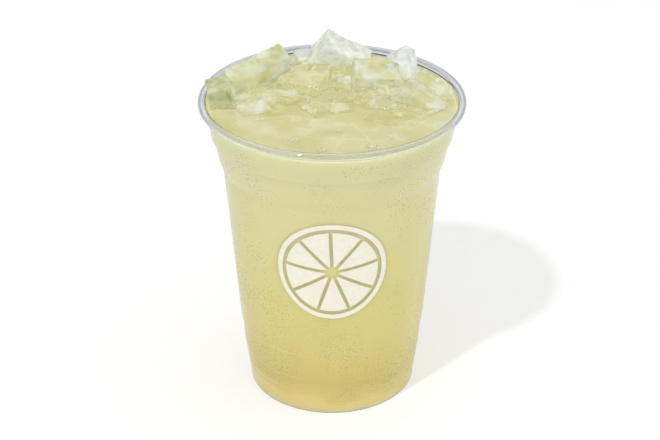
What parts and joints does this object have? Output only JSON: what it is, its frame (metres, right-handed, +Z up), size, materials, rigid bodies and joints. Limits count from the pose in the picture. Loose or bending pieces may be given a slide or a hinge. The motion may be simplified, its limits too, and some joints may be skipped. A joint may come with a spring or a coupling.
{
  "type": "cup of lemonade",
  "caption": "Clear plastic cold-drink cup with a rolled rim and stepped bands, filled with cloudy pale yellow lemonade, with broken ice standing out of the surface.",
  "frame": {"origin": "middle of the foot, on the surface that the cup stands on", "axes": "+Z up along the cup's axis; the view of the front is along +Y, with +X to the right"},
  "size_m": [0.098, 0.098, 0.1312],
  "materials": {
    "clear_plastic": "clear, smooth, thin formed plastic with fine drops of condensation",
    "lemonade": "cloudy pale yellow liquid with a wet gloss",
    "ice": "wet clear ice, yellowish from the drink, partly crazed"
  },
  "bodies": {
    "root": {"cup": "clear_plastic", "lemonade": "lemonade", "ice_slab_left": "ice", "ice_peak_back": "ice", "ice_shard_right": "ice", "ice_block_right": "ice", "ice_block_left": "ice", "ice_wedge_mid": "ice", "ice_ridge_right": "ice", "ice_wall_right": "ice", "ice_corner_left": "ice", "ice_low_left": "ice", "ice_low_right": "ice", "ice_chip_back": "ice"}
  },
  "joints": []
}
